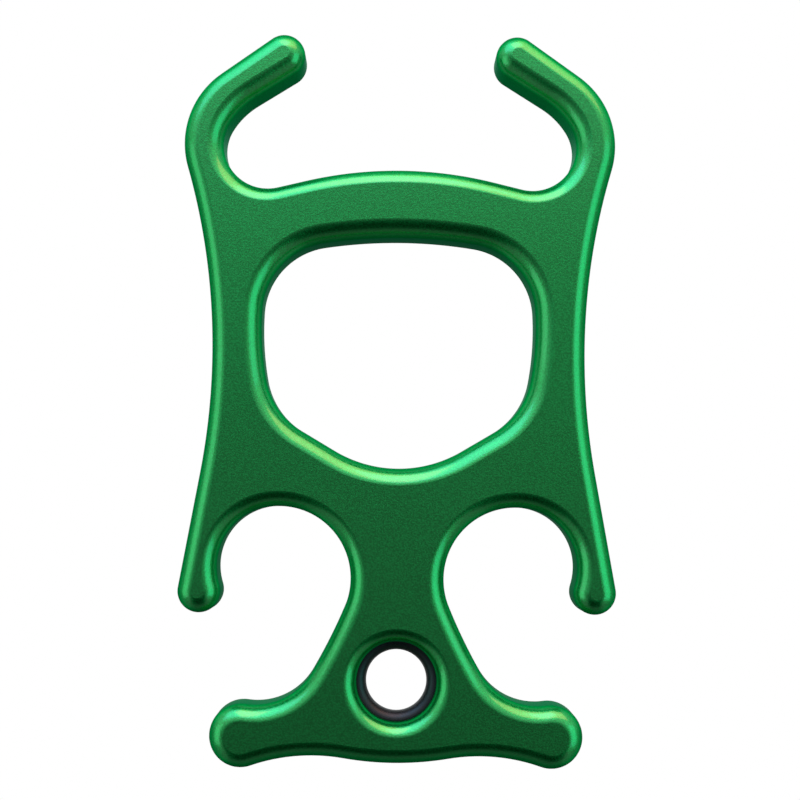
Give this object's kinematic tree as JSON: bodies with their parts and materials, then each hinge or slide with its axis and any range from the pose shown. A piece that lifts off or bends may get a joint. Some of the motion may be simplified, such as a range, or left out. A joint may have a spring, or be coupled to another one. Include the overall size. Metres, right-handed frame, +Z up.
{
  "type": "canyoning descender",
  "caption": "Flat rounded metal rope descender with upper and lower rope horns, a big central hole and a rubber-lined carabiner eye.",
  "frame": {"origin": "centre of the carabiner eye, halfway through the plate", "axes": "+Z up from the eye to the upper horns, +X to the right seen from the front, front face towards -Y"},
  "size_m": [0.089, 0.0136, 0.1498],
  "materials": {
    "green_anodised_aluminium": "bead-blasted and green anodised, satin",
    "black_rubber": "moulded, satin"
  },
  "bodies": {
    "root": {"descender_body": "green_anodised_aluminium", "carabiner_ring": "black_rubber"}
  },
  "joints": []
}
